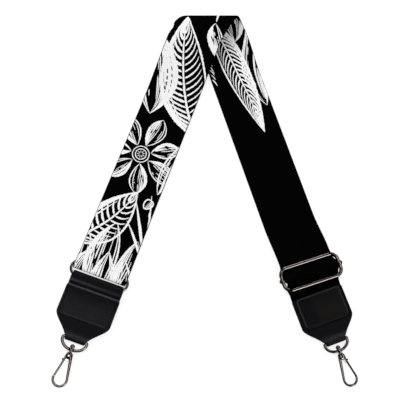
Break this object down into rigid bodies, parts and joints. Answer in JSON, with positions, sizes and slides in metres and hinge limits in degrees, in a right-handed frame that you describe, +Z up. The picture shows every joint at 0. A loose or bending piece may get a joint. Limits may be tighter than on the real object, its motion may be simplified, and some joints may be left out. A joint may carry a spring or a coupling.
{
  "type": "detachable bag strap",
  "caption": "Wide webbing shoulder strap folded flat over itself, with a slider, an oval ring, and a leather tab and swivel hook at each end.",
  "frame": {"origin": "on the surface it lies on, under the middle of its bounding box", "axes": "+Z up from the surface, +Y towards the bend, along the axis on which both legs run down, +X to the leg with the slider"},
  "size_m": [0.2738, 0.366, 0.0216],
  "materials": {
    "webbing": "tightly woven, matte black, white print on the outer face",
    "leather": "smooth black, satin, closed painted edges",
    "filler": "pressed board, hidden",
    "nickel": "polished nickel plate",
    "spring_steel": "plain"
  },
  "bodies": {
    "strap": {"webbing_outer_layer": "webbing", "webbing_inner_layer": "webbing", "webbing_ring_loop": "webbing", "webbing_upper_run": "webbing", "webbing_lower_run": "webbing"},
    "ring": {"oval_ring": "nickel"},
    "left_tab": {"left_tab_leather": "leather", "left_ring_leather": "leather", "left_tab_filler": "filler"},
    "left_eye": {"left_d_eye": "nickel"},
    "left_clasp": {"left_hook": "nickel", "left_swivel_rivet": "nickel", "left_gate_pin": "nickel", "left_gate_spring": "spring_steel"},
    "left_gate_arm": {"left_gate": "nickel"},
    "slider": {"slider_bar": "nickel", "webbing_bar_loop": "webbing", "webbing_hump": "webbing"},
    "slider_wire": {"slider_frame": "nickel"},
    "right_tab": {"right_tab_leather": "leather", "right_tab_filler": "filler", "webbing_tab_end": "webbing"},
    "right_eye": {"right_d_eye": "nickel"},
    "right_clasp": {"right_hook": "nickel", "right_swivel_rivet": "nickel", "right_gate_pin": "nickel", "right_gate_spring": "spring_steel"},
    "right_gate_arm": {"right_gate": "nickel"}
  },
  "joints": [
    {"name": "ring_swing", "type": "hinge", "parent": "strap", "child": "ring", "pos_m": [-0.09096, -0.06529, 0.0028], "axis": [0.9178, -0.3971, 0], "range_deg": [-70, 70], "deforming": ["webbing_ring_loop"]},
    {"name": "left_tab_swing", "type": "hinge", "parent": "ring", "child": "left_tab", "pos_m": [-0.09644, -0.07795, 0.0028], "axis": [0.9178, -0.3971, 0], "range_deg": [-70, 70], "deforming": ["left_ring_leather"]},
    {"name": "left_eye_swing", "type": "hinge", "parent": "left_tab", "child": "left_eye", "pos_m": [-0.11595, -0.12693, 0.0029], "axis": [0.9225, -0.3859, 0], "range_deg": [-70, 70]},
    {"name": "left_swivel", "type": "hinge", "parent": "left_eye", "child": "left_clasp", "pos_m": [-0.12024, -0.13717, 0.0029], "axis": [0.3859, 0.9225, 0], "continuous": true},
    {"name": "left_gate_hinge", "type": "hinge", "parent": "left_clasp", "child": "left_gate_arm", "pos_m": [-0.12443, -0.14148, 0.0029], "axis": [0, 0, 1], "range_deg": [0, 27], "stiffness_Nm_per_rad": 0.01, "springref_deg": -17.19, "deforming": ["left_gate_spring"]},
    {"name": "slider_slide", "type": "slide", "parent": "strap", "child": "slider", "axis": [-0.2605, 0.9655, 0], "range_m": [0, 0.11], "deforming": ["webbing_upper_run", "webbing_lower_run"]},
    {"name": "slider_wire_slide", "type": "slide", "parent": "slider", "child": "slider_wire", "axis": [-0.2605, 0.9655, 0], "range_m": [-0.001, 0.001]},
    {"name": "right_tab_feed", "type": "slide", "parent": "slider", "child": "right_tab", "axis": [0.2605, -0.9655, 0], "range_m": [0, 0.22]},
    {"name": "right_eye_swing", "type": "hinge", "parent": "right_tab", "child": "right_eye", "pos_m": [0.11826, -0.1414, 0.0029], "axis": [0.9593, 0.2823, 0], "range_deg": [-70, 70]},
    {"name": "right_swivel", "type": "hinge", "parent": "right_eye", "child": "right_clasp", "pos_m": [0.12139, -0.15205, 0.0029], "axis": [-0.2823, 0.9593, 0], "continuous": true},
    {"name": "right_gate_hinge", "type": "hinge", "parent": "right_clasp", "child": "right_gate_arm", "pos_m": [0.12508, -0.1568, 0.0029], "axis": [0, 0, 1], "range_deg": [-27, 0], "stiffness_Nm_per_rad": 0.01, "springref_deg": 17.19, "deforming": ["right_gate_spring"]}
  ],
  "couplings": [
    {"joint": "right_tab_feed", "follows": "slider_slide", "ratio": 2}
  ]
}
